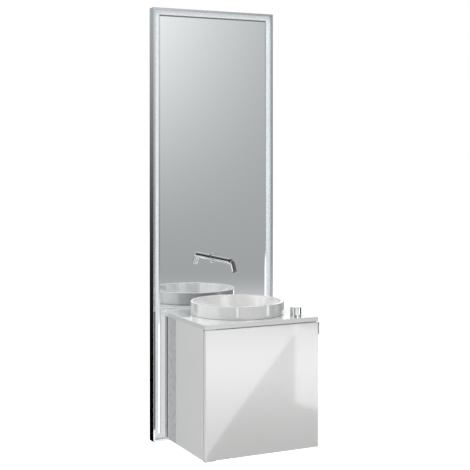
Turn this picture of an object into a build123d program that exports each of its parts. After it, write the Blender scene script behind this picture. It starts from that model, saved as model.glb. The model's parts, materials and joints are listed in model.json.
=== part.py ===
"""A wall-hung washplace: a lit mirror panel, a small cabinet, a round basin and its tap.

X runs to the right, Y into the wall and Z up, in millimetres. The origin lies on the
wall, at the centre of the four bolts that carry the washplace. A depth is a distance
from the wall towards the user, so a point at depth d has y = -d.
"""
from build123d import *
from math import cos, pi, radians, sin, tan
import os

# Panel: the outer frame, the lip round it and the glass inside it
PANEL_WIDTH = 500.0
PANEL_HEIGHT = 1610.0
PANEL_DEPTH = 39.0
BOLT_CENTRE_HEIGHT = 250.0
LIP_WIDTH = 8.0
PROFILE_WALL = 2.5
REAR_FLANGE = 24.0
WEB_BACK_DEPTH = 12.0
WEB_THICKNESS = 2.0
LEDGE_INNER = 28.0
LEDGE_THICKNESS = 2.0
NOSE_BACK_DEPTH = 24.5
KEY_LEG = 50.0
KEY_WIDTH = 15.0

# Light band: opal strips in front of small lamps on a strip
DIFFUSER_THICKNESS = 3.0
DIFFUSER_GROOVE = 3.0
LED_STRIP_WIDTH = 8.0
LED_STRIP_THICKNESS = 1.5
LED_STRIP_INSET = 9.0

# Mirror glass
GLASS_THICKNESS = 5.0
GLASS_FRONT_DEPTH = 30.0
GLASS_INSET = 24.5
BEVEL_WIDTH = 6.0
BEVEL_FALL = 1.5
GLASS_HOLE_CLEARANCE = 1.0
SERVICE_HALF_WIDTH = 120.0
SERVICE_LOW = 90.0
SERVICE_HIGH = 446.0
SERVICE_CORNER = 15.0

# Sheet behind the glass, hanging rails and carrier
BACK_SHEET_THICKNESS = 1.5
BACK_SHEET_LOW = 476.0
BACK_SHEET_TOP_INSET = 165.0
BACK_SHEET_SIDE_GAP = 0.5
RAIL_TOP_INSET = 90.0
RAIL_HEIGHT = 40.0
RAIL_THICKNESS = 3.0
WALL_RAIL_LENGTH = 360.0
RAIL_SCREW_SPACING = 300.0
RAIL_SCREW_HOLE = 3.25
RAIL_SCREW_DROP = 30.0
HOOK_PLATE = 2.5
CARRIER_THICKNESS = 4.0
CARRIER_BELOW = 180.0
CARRIER_ABOVE = 180.0
CARRIER_OPENING_HALF_WIDTH = 125.0
CARRIER_BAR = 18.0
WALL_BOLT_SPACING_X = 320.0
WALL_BOLT_SPACING_Z = 300.0
WALL_BOLT_HOLE = 5.25
BOSS_RADIUS = 11.0
HANGER_BOLT_SPACING_Z = 240.0
HANGER_BOLT_FROM_POST = 15.0
HANGER_BOLT_RADIUS = 3.35
HANGER_BOLT_HEAD_RADIUS = 6.5
HANGER_BOLT_HEAD = 5.0
HANGER_BOLT_GRIP = 26.0

# Lamp driver and its lead
DRIVER_LENGTH = 160.0
DRIVER_HEIGHT = 40.0
DRIVER_THICKNESS = 11.0
DRIVER_LEFT = -60.0
DRIVER_LOW = 900.0
DRIVER_CORNER = 2.0
LEAD_RADIUS = 2.0
LEAD_HOLE_RADIUS = 3.0
LEAD_HEIGHT = 925.0
CONNECTOR_WIDTH = 11.0
CONNECTOR_HEIGHT = 20.0
CONNECTOR_THICKNESS = 7.0
CONNECTOR_INSET = 1.0
GROMMET_X = 150.0
GROMMET_RADIUS = 9.0
GROMMET_NECK_RADIUS = 6.5
GROMMET_BORE = 3.5
GROMMET_LENGTH = 5.0

# Cabinet
CABINET_INSET = 29.0
CABINET_FRONT_DEPTH = 438.0
CABINET_LOW = 26.0
DECK_LOW = 472.0
BOARD = 16.0
REAR_POST_DEPTH = 52.0
REAR_POST_LEG = 35.0
REAR_POST_LEG_THICKNESS = 6.0
SHADOW_PROFILE_WIDTH = 29.0
SHADOW_PROFILE_RECESS = 8.0
RIBBED_PROFILE_WIDTH = 76.0
RIBBED_PROFILE_BEAD = 10.0
RIB_COUNT = 11
RIB_PITCH = 6.0
RIB_GROOVE_WIDTH = 3.0
RIB_GROOVE_DEPTH = 2.5
DOWEL_RADIUS = 4.0
DOWEL_HALF_LENGTH = 11.5
DOWEL_DEPTHS = (230.0, 380.0)
RAIL_TUBE_DEPTH = 18.0
RAIL_TUBE_HEIGHT = 28.0
RAIL_TUBE_WALL = 2.0
REAR_RAIL_DEPTH = 37.0
SHELF_HEIGHT = 160.0
SHELF_THICKNESS = 8.0
SHELF_BACK_DEPTH = 60.0
SHELF_FRONT_GAP = 16.0
SHELF_SIDE_GAP = 2.0
SHELF_PIN_RADIUS = 2.5
SHELF_PIN_LENGTH = 16.0
SHELF_PIN_FROM_ENDS = 28.0

# Deck of thick glass
DECK_THICKNESS = 16.0
DECK_OVERHANG = 0.5
DECK_EDGE = 0.8
DECK_SEAL_DEPTH = 4.0
DECK_SEAL_HEIGHT = 6.0
DECK_SEAL_ROUNDING = 3.2

# Door, its pivot hinges, pull and catch
DOOR_THICKNESS = 12.0
DOOR_BACK_GAP = 3.0
DOOR_TOP_GAP = 3.0
DOOR_SIDE_GAP = 0.5
DOOR_EDGE = 0.8
PIVOT_PIN_RADIUS = 2.5
PIVOT_PIN_LENGTH = 12.0
BUSH_RADIUS = 4.0
BUSH_LENGTH = 14.0
HINGE_PLATE = 2.0
HINGE_LEG_WIDTH = 24.0
HINGE_LEG_HEIGHT = 20.0
HINGE_PLATE_FRONT_INSET = 1.0
HINGE_LEG_INSET = 1.0
PULL_HEIGHT = 43.0
PULL_REACH = 7.0
PULL_GRIP_WIDTH = 5.0
PULL_PLATE = 2.0
PULL_PLATE_WIDTH = 26.0
PULL_TOP_INSET = 1.0
PULL_ROUNDING = 1.0
CATCH_X = 60.0
CATCH_WIDTH = 40.0
CATCH_HEIGHT = 14.0
CATCH_LENGTH = 24.0
STRIKE_PLATE = 1.5

# Basin
BASIN_RADIUS = 170.0
BASIN_CENTRE_DEPTH = 234.0
BASIN_HEIGHT = 45.0
BASIN_RIM_WIDTH = 12.7
BASIN_RIM_ROUNDING = 1.5
BASIN_FOOT_WIDTH = 12.0
BASIN_WALL_DRAFT = 9.4
BASIN_INNER_DROP = 54.0
BASIN_INNER_BEND = 60.0
BASIN_OUTER_BEND = 66.0
BASIN_OUTER_DROP = 3.0
BASIN_FLOOR_SLOPE = 8.0
BASIN_SEAL_HEIGHT = 1.0
BASIN_SEAL_INSET = 3.0
BOWL_FROM_FOOT = 1.0
BOWL_HOLE_CLEARANCE = 2.0
DRAIN_RADIUS = 23.0
DRAIN_FLANGE_SEAT = 34.0
DRAIN_SEAT_DEPTH = 3.0
DRAIN_COLLAR_RADIUS = 36.0
DRAIN_COLLAR_THICKNESS = 8.0

# Waste and bottle trap
WASTE_FLANGE_RADIUS = 33.0
WASTE_FLANGE_THICKNESS = 2.5
WASTE_TUBE_RADIUS = 20.9
WASTE_BORE = 17.5
WASTE_LENGTH = 65.0
WASTE_NUT_RADIUS = 30.0
WASTE_NUT_HEIGHT = 11.0
SPIDER_HUB_RADIUS = 7.0
SPIDER_ARM = 4.0
SPIDER_HEIGHT = 6.0
SPIDER_DROP = 36.0
SPIDER_ARM_ROOT = 1.0
PLUG_RADIUS = 29.5
PLUG_CAP_HEIGHT = 5.5
PLUG_STEM_RADIUS = 4.0
PLUG_STEM_LENGTH = 52.0
TRAP_NUT_RADIUS = 26.0
TRAP_NUT_GRIP = 16.0
TRAP_PIPE_RADIUS = 16.0
TRAP_PIPE_BORE = 13.5
TRAP_BODY_RADIUS = 34.0
TRAP_WALL = 4.0
TRAP_BODY_HEIGHT = 61.0
TRAP_PIPE_DROP = 20.0
TRAP_DIP = 34.0
TRAP_CUP_HEIGHT = 69.0
TRAP_COLLAR_RADIUS = 38.0
TRAP_COLLAR_HEIGHT = 20.0
OUTLET_SOCKET_RADIUS = 20.0
OUTLET_SOCKET_LENGTH = 16.0
OUTLET_PIPE_WALL = 1.5
OUTLET_INTO_WALL = 35.0
OUTLET_BEAD_RADIUS = 19.0
OUTLET_BEAD_LENGTH = 4.0
OUTLET_OVERLAP = 14.0
OUTLET_BORE_END_GAP = 2.0

# Spout
SPOUT_RADIUS = 10.0
SPOUT_BORE = 8.6
SPOUT_HEIGHT = 670.5
SPOUT_CORNER_DEPTH = 191.0
SPOUT_OUTLET_LEG = 39.5
SPOUT_TILT = 27.0
SPOUT_BEND = 22.0
ROSETTE_RADIUS = 19.0
ROSETTE_THICKNESS = 6.0
ROSETTE_ROUNDING = 1.0
SHANK_RADIUS = 9.5
SHANK_BORE = 6.0
SPOUT_CONNECTOR_RADIUS = 15.0
SPOUT_PORT_RADIUS = 6.0
SPOUT_PORT_DROP = 26.0
AERATOR_LENGTH = 8.0
AERATOR_RECESS = 0.6
AERATOR_WALL = 1.4
AERATOR_PLATE = 2.0
AERATOR_HOLE = 1.1
AERATOR_RING = 4.2
AERATOR_RING_HOLES = 8

# Control on the deck
KNOB_RADIUS = 20.2
KNOB_HEIGHT = 28.0
KNOB_EDGE = 1.0
KNOB_SKIRT = 14.0
KNOB_WALL = 4.0
KNOB_HUB_RADIUS = 8.0
KNOB_FROM_SIDE = 61.5
CONTROL_FLANGE_RADIUS = 20.6
CONTROL_FLANGE = 3.0
CONTROL_RADIUS = 17.0
CONTROL_LENGTH = 48.0
CONTROL_NUT_RADIUS = 23.0
CONTROL_NUT_HEIGHT = 12.0
CONTROL_NUT_TO_RAIL = 1.0
SPINDLE_RADIUS = 4.0
SPINDLE_LENGTH = 33.0
SPINDLE_IN_BODY = 19.0
PORT_RADIUS = 3.0
PORT_DEPTH = 10.0
SUPPLY_PORT_SPREAD = 8.0
SUPPLY_PORT_FORWARD = 5.0
MIXED_PORT_BACK = 9.0

# Hoses
HOSE_RADIUS = 4.5
HOSE_NUT_RADIUS = 11.0
HOSE_NUT_LENGTH = 18.0
HOSE_THREAD_RADIUS = 7.5
HOSE_THREAD_DEPTH = 9.0
HOSE_NUT_FACE_DEPTH = 8.0
SUPPLY_X = 75.0
SUPPLY_HEIGHT = 250.0
ARC_SHARE = 0.45

# Clearances, and how far a cutter runs past what it cuts
RUNNING = 0.05
LOOSE = 0.1
SEAT = 0.3
CUT = 1.0

# Levels, counted from the wall bolts, and other places that follow from the sizes
PANEL_HALF = PANEL_WIDTH / 2
PANEL_BOTTOM = -BOLT_CENTRE_HEIGHT
PANEL_TOP = PANEL_BOTTOM + PANEL_HEIGHT
GLASS_BACK_DEPTH = GLASS_FRONT_DEPTH - GLASS_THICKNESS
WEB_FRONT_DEPTH = WEB_BACK_DEPTH + WEB_THICKNESS
CABINET_HALF = PANEL_HALF - CABINET_INSET
INNER_HALF = CABINET_HALF - BOARD
CABINET_BOTTOM = PANEL_BOTTOM + CABINET_LOW
DECK_BOTTOM = PANEL_BOTTOM + DECK_LOW
DECK_TOP = DECK_BOTTOM + DECK_THICKNESS
DOOR_BACK_DEPTH = CABINET_FRONT_DEPTH - DOOR_THICKNESS
CARCASS_FRONT_DEPTH = DOOR_BACK_DEPTH - DOOR_BACK_GAP
DOOR_HALF = CABINET_HALF - DOOR_SIDE_GAP
DOOR_TOP = DECK_BOTTOM - DOOR_TOP_GAP
PIVOT_X = -DOOR_HALF + DOOR_THICKNESS / 2
PIVOT_DEPTH = CABINET_FRONT_DEPTH - DOOR_THICKNESS / 2
SHADOW_BACK_DEPTH = GLASS_FRONT_DEPTH + REAR_POST_DEPTH
RIBBED_BACK_DEPTH = SHADOW_BACK_DEPTH + SHADOW_PROFILE_WIDTH
SIDE_BACK_DEPTH = RIBBED_BACK_DEPTH + RIBBED_PROFILE_WIDTH
HANGER_BOLT_X = INNER_HALF - HANGER_BOLT_FROM_POST
CARRIER_HALF_WIDTH = INNER_HALF
FRONT_RAIL_DEPTH = CARCASS_FRONT_DEPTH - RAIL_TUBE_DEPTH
BASIN_BOTTOM = DECK_TOP + BASIN_SEAL_HEIGHT
BASIN_TOP = BASIN_BOTTOM + BASIN_HEIGHT
BOWL_RADIUS = BASIN_RADIUS - BASIN_FOOT_WIDTH - BOWL_FROM_FOOT
BOWL_HOLE_RADIUS = BOWL_RADIUS + BOWL_HOLE_CLEARANCE
SPOUT_Z = PANEL_BOTTOM + SPOUT_HEIGHT
CONTROL_X = CABINET_HALF - KNOB_FROM_SIDE
CONTROL_DEPTH = FRONT_RAIL_DEPTH - CONTROL_NUT_TO_RAIL - CONTROL_NUT_RADIUS * cos(radians(30))
CONTROL_LOW = DECK_BOTTOM - CONTROL_LENGTH
CAVITY_DEPTH = (WEB_BACK_DEPTH + GLASS_BACK_DEPTH) / 2
LEAD_Z = PANEL_BOTTOM + LEAD_HEIGHT


def block(left, right, back, front, low, high):
    """A box between two X places, two depths and two levels."""
    centre = Pos((left + right) / 2, -(back + front) / 2, (low + high) / 2)
    return centre * Box(abs(right - left), front - back, high - low)


def rod_up(radius, x, depth, low, high):
    """A round bar that stands upright."""
    bar = Cylinder(radius, high - low, align=(Align.CENTER, Align.CENTER, Align.MIN))
    return Pos(x, -depth, low) * bar


def rod_out(radius, x, z, back, front):
    """A round bar that points from the wall to the user."""
    bar = Cylinder(radius, front - back, align=(Align.CENTER, Align.CENTER, Align.MIN))
    return Pos(x, -back, z) * Rot(90, 0, 0) * bar


def rod_across(radius, left, right, depth, z):
    """A round bar that runs from left to right."""
    bar = Cylinder(radius, right - left, align=(Align.CENTER, Align.CENTER, Align.MIN))
    return Pos(left, -depth, z) * Rot(0, 90, 0) * bar


def hexagon_up(radius, x, depth, low, high):
    """A six-sided bar that stands upright, given its radius to the corners."""
    return extrude(Pos(x, -depth, low) * RegularPolygon(radius, 6), high - low, dir=(0, 0, 1))


def mirrored(shape):
    """The same shape on the other side of the middle plane."""
    return mirror(shape, about=Plane.YZ)


def turned_about(outline, x, depth):
    """A turned piece: an outline of (radius, level) edges, spun about an upright axis."""
    return Pos(x, -depth, 0) * revolve(outline, axis=Axis.Z)


def frame_rail(length):
    """One side of the panel's frame, outer face at x = 0, with both ends mitred."""
    groove_back = GLASS_FRONT_DEPTH - DIFFUSER_THICKNESS - LOOSE * 2
    groove_floor = LIP_WIDTH - DIFFUSER_GROOVE
    ledge_outer = LEDGE_INNER - LEDGE_THICKNESS
    section = [
        (0, 0),
        (0, PANEL_DEPTH),
        (LIP_WIDTH, PANEL_DEPTH),
        (LIP_WIDTH, GLASS_FRONT_DEPTH),
        (groove_floor, GLASS_FRONT_DEPTH),
        (groove_floor, groove_back),
        (LIP_WIDTH, groove_back),
        (LIP_WIDTH, NOSE_BACK_DEPTH),
        (PROFILE_WALL, NOSE_BACK_DEPTH),
        (PROFILE_WALL, WEB_FRONT_DEPTH),
        (ledge_outer, WEB_FRONT_DEPTH),
        (ledge_outer, GLASS_BACK_DEPTH),
        (LEDGE_INNER, GLASS_BACK_DEPTH),
        (LEDGE_INNER, WEB_BACK_DEPTH),
        (PROFILE_WALL, WEB_BACK_DEPTH),
        (PROFILE_WALL, PROFILE_WALL),
        (REAR_FLANGE, PROFILE_WALL),
        (REAR_FLANGE, 0),
    ]
    outline = Polyline([(x, -depth, -length / 2) for x, depth in section], close=True)
    bar = extrude(make_face(outline), length, dir=(0, 0, 1))
    return bar & mitre_wedge(0, LEDGE_INNER, 0, PANEL_DEPTH, length)


def mitre_wedge(outer, inner, back, front, length):
    """The space that a mitred rail may fill, with ends cut at 45 degrees."""
    corners = [
        (outer, -back, -length / 2 + outer),
        (outer, -back, length / 2 - outer),
        (inner, -back, length / 2 - inner),
        (inner, -back, -length / 2 + inner),
    ]
    return extrude(make_face(Polyline(corners, close=True)), front - back, dir=(0, -1, 0))


def set_round_panel(make_rail):
    """The four sides of the panel, each made upright by make_rail(length) and put in place."""
    middle = (PANEL_BOTTOM + PANEL_TOP) / 2
    upright = make_rail(PANEL_HEIGHT)
    level = make_rail(PANEL_WIDTH)
    return {
        "left": Pos(-PANEL_HALF, 0, middle) * upright,
        "right": Pos(PANEL_HALF, 0, middle) * Rot(0, 180, 0) * upright,
        "top": Pos(0, 0, PANEL_TOP) * Rot(0, 90, 0) * level,
        "bottom": Pos(0, 0, PANEL_BOTTOM) * Rot(0, -90, 0) * level,
    }


def frame_sides():
    """The frame's four profiles, the left one with a hole for the lamp lead."""
    sides = set_round_panel(frame_rail)
    ledge_right = LEDGE_INNER - PANEL_HALF
    ledge_left = ledge_right - LEDGE_THICKNESS
    hole = rod_across(LEAD_HOLE_RADIUS, ledge_left - CUT, ledge_right + CUT, CAVITY_DEPTH, LEAD_Z)
    sides["left"] = sides["left"] - hole
    return sides


def diffuser_rail(length):
    """One opal strip, held by its outer edge in the frame's groove, with mitred ends."""
    outer = LIP_WIDTH - DIFFUSER_GROOVE + LOOSE * 2
    inner = GLASS_INSET - SEAT
    front = GLASS_FRONT_DEPTH - LOOSE
    return mitre_wedge(outer, inner, front - DIFFUSER_THICKNESS, front, length)


def led_rail(length):
    """One lamp strip on the frame's web, with mitred ends."""
    outer = LED_STRIP_INSET
    inner = LED_STRIP_INSET + LED_STRIP_WIDTH
    return mitre_wedge(outer, inner, WEB_FRONT_DEPTH, WEB_FRONT_DEPTH + LED_STRIP_THICKNESS, length)


def led_strips():
    """Four lamp strips. The left one carries the block that its lead ends in."""
    sides = set_round_panel(led_rail)
    block_left = -PANEL_HALF + LED_STRIP_INSET + CONNECTOR_INSET
    plug_block = block(
        block_left,
        block_left + CONNECTOR_WIDTH,
        WEB_FRONT_DEPTH,
        WEB_FRONT_DEPTH + CONNECTOR_THICKNESS,
        LEAD_Z - CONNECTOR_HEIGHT / 2,
        LEAD_Z + CONNECTOR_HEIGHT / 2,
    )
    sides["left"] = sides["left"] + plug_block
    return Compound(children=[s.solid() for s in sides.values()])


def corner_keys():
    """Four angled keys that join the frame's profiles inside their rear channel."""
    near = PROFILE_WALL + SEAT
    far = near + KEY_LEG
    inner = near + KEY_WIDTH
    corners = [(near, near), (far, near), (far, inner), (inner, inner), (inner, far), (near, far)]
    back = PROFILE_WALL + SEAT
    thickness = WEB_BACK_DEPTH - SEAT - back
    outline = Polyline([(x, -back, z) for x, z in corners], close=True)
    key = Pos(-PANEL_HALF, 0, PANEL_BOTTOM) * extrude(make_face(outline), thickness, dir=(0, -1, 0))
    middle = Plane.XY.offset((PANEL_BOTTOM + PANEL_TOP) / 2)
    upper = mirror(key, about=middle)
    keys = [key, mirrored(key), upper, mirrored(upper)]
    return Compound(children=[k.solid() for k in keys])


def mirror_glass():
    """The mirror, with a bevelled edge and its holes for the spout, bolts and services."""
    half = PANEL_HALF - GLASS_INSET
    low = PANEL_BOTTOM + GLASS_INSET
    high = PANEL_TOP - GLASS_INSET
    shoulder = GLASS_FRONT_DEPTH - BEVEL_FALL
    glass = block(-half, half, GLASS_BACK_DEPTH, shoulder, low, high)
    centre = (low + high) / 2
    back_edge = Plane(origin=(0, -shoulder, centre), x_dir=(1, 0, 0), z_dir=(0, -1, 0))
    front_edge = back_edge.offset(BEVEL_FALL)
    outer = back_edge * Rectangle(2 * half, high - low)
    inner = front_edge * Rectangle(2 * (half - BEVEL_WIDTH), high - low - 2 * BEVEL_WIDTH)
    glass += loft([outer, inner])
    glass -= rod_out(SHANK_RADIUS + GLASS_HOLE_CLEARANCE, 0, SPOUT_Z, 0, PANEL_DEPTH)
    for x in (-HANGER_BOLT_X, HANGER_BOLT_X):
        for z in (-HANGER_BOLT_SPACING_Z / 2, HANGER_BOLT_SPACING_Z / 2):
            glass -= rod_out(HANGER_BOLT_RADIUS + GLASS_HOLE_CLEARANCE, x, z, 0, PANEL_DEPTH)
    service_low = PANEL_BOTTOM + SERVICE_LOW
    service_high = PANEL_BOTTOM + SERVICE_HIGH
    return glass - service_cutter(SERVICE_HALF_WIDTH, service_low, service_high)


def service_cutter(half_width, low, high):
    """A round-cornered block that cuts the way for pipes and hoses."""
    place = Plane(origin=(0, 0, (low + high) / 2), x_dir=(1, 0, 0), z_dir=(0, -1, 0))
    return extrude(place * RectangleRounded(2 * half_width, high - low, SERVICE_CORNER), PANEL_DEPTH)


def back_sheet():
    """The thin sheet behind the glass, bonded to the webs of the two side profiles."""
    half = PANEL_HALF - PROFILE_WALL - BACK_SHEET_SIDE_GAP
    front = WEB_BACK_DEPTH
    sheet = block(
        -half,
        half,
        front - BACK_SHEET_THICKNESS,
        front,
        PANEL_BOTTOM + BACK_SHEET_LOW,
        PANEL_TOP - BACK_SHEET_TOP_INSET,
    )
    return sheet - rod_out(GROMMET_NECK_RADIUS + LOOSE, GROMMET_X, LEAD_Z, 0, PANEL_DEPTH)


def wall_rail():
    """The rail on the wall: a plate with a lip that turns up."""
    half = WALL_RAIL_LENGTH / 2
    top = PANEL_TOP - RAIL_TOP_INSET
    rail = block(-half, half, 0, RAIL_THICKNESS, top - RAIL_HEIGHT, top)
    shelf_front = RAIL_THICKNESS * 3
    shelf_low = top - RAIL_HEIGHT / 2
    rail += block(-half, half, 0, shelf_front, shelf_low, shelf_low + RAIL_THICKNESS)
    rail += block(-half, half, RAIL_THICKNESS * 2, shelf_front, shelf_low, top)
    for x in (-RAIL_SCREW_SPACING / 2, RAIL_SCREW_SPACING / 2):
        rail -= rod_out(RAIL_SCREW_HOLE, x, rail_screw_level(), -CUT, PANEL_DEPTH)
    return rail


def rail_screw_level():
    """The level of the screws in the rail on the wall."""
    return PANEL_TOP - RAIL_TOP_INSET - RAIL_SCREW_DROP


def hook_rail():
    """The rail on the panel: a plate behind the webs with a hook that turns down."""
    half = PANEL_HALF - REAR_FLANGE + 2 * WEB_THICKNESS
    floor = PANEL_TOP - RAIL_TOP_INSET - RAIL_HEIGHT / 2 + RAIL_THICKNESS + SEAT
    top = PANEL_TOP - RAIL_TOP_INSET + RAIL_HEIGHT / 2
    hook_back = RAIL_THICKNESS + SEAT
    hook_front = RAIL_THICKNESS * 2 - SEAT
    hook_half = WALL_RAIL_LENGTH / 2
    rail = block(-half, half, WEB_BACK_DEPTH - HOOK_PLATE, WEB_BACK_DEPTH, top - 2 * RAIL_HEIGHT, top)
    rail += block(-hook_half, hook_half, hook_back, WEB_BACK_DEPTH, top - HOOK_PLATE, top)
    rail += block(-hook_half, hook_half, hook_back, hook_front, floor, top)
    return rail


def carrier_frame():
    """The steel carrier: a flat ring on the wall with four threaded bosses."""
    half = CARRIER_HALF_WIDTH
    frame = block(-half, half, 0, CARRIER_THICKNESS, -CARRIER_BELOW, CARRIER_ABOVE)
    opening_low = CARRIER_BAR - CARRIER_BELOW
    opening_high = CARRIER_ABOVE - CARRIER_BAR
    frame -= service_cutter(CARRIER_OPENING_HALF_WIDTH, opening_low, opening_high)
    for x in (-HANGER_BOLT_X, HANGER_BOLT_X):
        for z in (-HANGER_BOLT_SPACING_Z / 2, HANGER_BOLT_SPACING_Z / 2):
            frame += rod_out(BOSS_RADIUS, x, z, 0, GLASS_BACK_DEPTH)
            frame -= rod_out(HANGER_BOLT_RADIUS + RUNNING, x, z, CARRIER_THICKNESS, PANEL_DEPTH)
    for x in (-WALL_BOLT_SPACING_X / 2, WALL_BOLT_SPACING_X / 2):
        for z in (-WALL_BOLT_SPACING_Z / 2, WALL_BOLT_SPACING_Z / 2):
            frame -= rod_out(WALL_BOLT_HOLE, x, z, -CUT, PANEL_DEPTH)
    return frame


def hanger_bolts():
    """Four bolts that draw the cabinet against the carrier through the glass."""
    head_back = GLASS_FRONT_DEPTH + REAR_POST_LEG_THICKNESS
    bolts = []
    for x in (-HANGER_BOLT_X, HANGER_BOLT_X):
        for z in (-HANGER_BOLT_SPACING_Z / 2, HANGER_BOLT_SPACING_Z / 2):
            shank = rod_out(HANGER_BOLT_RADIUS, x, z, head_back - HANGER_BOLT_GRIP, head_back)
            head = rod_out(HANGER_BOLT_HEAD_RADIUS, x, z, head_back, head_back + HANGER_BOLT_HEAD)
            bolts.append((shank + head).solid())
    return Compound(children=bolts)


def led_driver():
    """The flat driver box in front of the back sheet."""
    right = DRIVER_LEFT + DRIVER_LENGTH
    front = WEB_BACK_DEPTH + DRIVER_THICKNESS
    low = PANEL_BOTTOM + DRIVER_LOW
    box = block(DRIVER_LEFT, right, WEB_BACK_DEPTH, front, low, low + DRIVER_HEIGHT)
    return fillet(box.edges().filter_by(Axis.Y), DRIVER_CORNER)


def cable_grommet():
    """The grommet that the mains cable would come through."""
    middle = WEB_BACK_DEPTH - BACK_SHEET_THICKNESS / 2
    back = middle - GROMMET_LENGTH / 2
    front = middle + GROMMET_LENGTH / 2
    grommet = rod_out(GROMMET_NECK_RADIUS, GROMMET_X, LEAD_Z, back, front)
    grommet += rod_out(GROMMET_RADIUS, GROMMET_X, LEAD_Z, back, WEB_BACK_DEPTH - BACK_SHEET_THICKNESS)
    grommet += rod_out(GROMMET_RADIUS, GROMMET_X, LEAD_Z, WEB_BACK_DEPTH, front)
    return grommet - rod_out(GROMMET_BORE, GROMMET_X, LEAD_Z, 0, PANEL_DEPTH)


def rear_post():
    """The right rear post: an angle that closes the side and bolts to the carrier."""
    front = GLASS_FRONT_DEPTH + REAR_POST_DEPTH
    post = block(INNER_HALF, CABINET_HALF, GLASS_FRONT_DEPTH, front, CABINET_BOTTOM, DECK_BOTTOM)
    leg_left = INNER_HALF - REAR_POST_LEG
    leg_front = GLASS_FRONT_DEPTH + REAR_POST_LEG_THICKNESS
    leg_top = DECK_BOTTOM - RAIL_TUBE_HEIGHT - SEAT
    post += block(leg_left, INNER_HALF, GLASS_FRONT_DEPTH, leg_front, CABINET_BOTTOM + BOARD, leg_top)
    for z in (-HANGER_BOLT_SPACING_Z / 2, HANGER_BOLT_SPACING_Z / 2):
        post -= rod_out(HANGER_BOLT_RADIUS + LOOSE, HANGER_BOLT_X, z, 0, SHADOW_BACK_DEPTH)
    return post


def shadow_profile():
    """The right dark strip, set back from the cabinet's side."""
    outer = CABINET_HALF - SHADOW_PROFILE_RECESS
    return block(INNER_HALF, outer, SHADOW_BACK_DEPTH, RIBBED_BACK_DEPTH, CABINET_BOTTOM, DECK_BOTTOM)


def ribbed_profile():
    """The right ribbed strip, with upright grooves in its outer face."""
    low, high = CABINET_BOTTOM, DECK_BOTTOM
    strip = block(INNER_HALF, CABINET_HALF, RIBBED_BACK_DEPTH, SIDE_BACK_DEPTH, low, high)
    floor = CABINET_HALF - RIB_GROOVE_DEPTH
    for rib in range(RIB_COUNT):
        back = RIBBED_BACK_DEPTH + RIBBED_PROFILE_BEAD + rib * RIB_PITCH
        strip -= block(floor, CABINET_HALF + CUT, back, back + RIB_GROOVE_WIDTH, low, high)
    return strip


def shelf_pin_places():
    """The depths and the level of the four pins under the shelf."""
    depths = (SIDE_BACK_DEPTH + SHELF_PIN_FROM_ENDS, CARCASS_FRONT_DEPTH - SHELF_PIN_FROM_ENDS)
    return depths, PANEL_BOTTOM + SHELF_HEIGHT - SHELF_PIN_RADIUS


def dowel_level():
    """The level of the dowels between the sides and the bottom board."""
    return CABINET_BOTTOM + BOARD / 2


def side_panel():
    """The right side board, with blind holes for dowels and shelf pins."""
    back, front = SIDE_BACK_DEPTH, CARCASS_FRONT_DEPTH
    board = block(INNER_HALF, CABINET_HALF, back, front, CABINET_BOTTOM, DECK_BOTTOM)
    for depth in DOWEL_DEPTHS:
        end = INNER_HALF + DOWEL_HALF_LENGTH + SEAT
        board -= rod_across(DOWEL_RADIUS + RUNNING, INNER_HALF - CUT, end, depth, dowel_level())
    depths, level = shelf_pin_places()
    for depth in depths:
        end = INNER_HALF + SHELF_PIN_LENGTH / 2 + SEAT
        board -= rod_across(SHELF_PIN_RADIUS + RUNNING, INNER_HALF - CUT, end, depth, level)
    return board


def bottom_panel():
    """The cabinet's bottom board between its two sides."""
    top = CABINET_BOTTOM + BOARD
    board = block(-INNER_HALF, INNER_HALF, GLASS_FRONT_DEPTH, CARCASS_FRONT_DEPTH, CABINET_BOTTOM, top)
    for depth in DOWEL_DEPTHS:
        start = INNER_HALF - DOWEL_HALF_LENGTH - SEAT
        hole = rod_across(DOWEL_RADIUS + RUNNING, start, INNER_HALF + CUT, depth, dowel_level())
        board -= hole
        board -= mirrored(hole)
    return board


def cabinet_dowels():
    """Four wooden dowels that join the sides to the bottom board."""
    dowels = []
    for depth in DOWEL_DEPTHS:
        left = INNER_HALF - DOWEL_HALF_LENGTH
        dowel = rod_across(DOWEL_RADIUS, left, left + 2 * DOWEL_HALF_LENGTH, depth, dowel_level())
        dowels.append(dowel.solid())
        dowels.append(mirrored(dowel).solid())
    return Compound(children=dowels)


def rail_tube(back):
    """A flat tube under the deck, from side to side."""
    low = DECK_BOTTOM - RAIL_TUBE_HEIGHT
    front = back + RAIL_TUBE_DEPTH
    tube = block(-INNER_HALF, INNER_HALF, back, front, low, DECK_BOTTOM)
    hollow = block(
        -INNER_HALF,
        INNER_HALF,
        back + RAIL_TUBE_WALL,
        front - RAIL_TUBE_WALL,
        low + RAIL_TUBE_WALL,
        DECK_BOTTOM - RAIL_TUBE_WALL,
    )
    return tube - hollow


def deck_rails():
    """The rear and the front tube that carry the deck."""
    front_tube = rail_tube(FRONT_RAIL_DEPTH)
    return Compound(children=[rail_tube(REAR_RAIL_DEPTH).solid(), front_tube.solid()])


def deck():
    """The glass deck, with its hole for the bowl and its hole for the control."""
    half = CABINET_HALF + DECK_OVERHANG
    plate = block(-half, half, GLASS_FRONT_DEPTH, CABINET_FRONT_DEPTH, DECK_BOTTOM, DECK_TOP)
    rims = plate.edges().group_by(Axis.Z)[-1]
    plate = chamfer(rims, DECK_EDGE)
    low = DECK_BOTTOM - CUT
    high = DECK_TOP + CUT
    plate -= rod_up(BOWL_HOLE_RADIUS, 0, BASIN_CENTRE_DEPTH, low, high)
    return plate - rod_up(CONTROL_RADIUS + SEAT, CONTROL_X, CONTROL_DEPTH, low, high)


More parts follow.
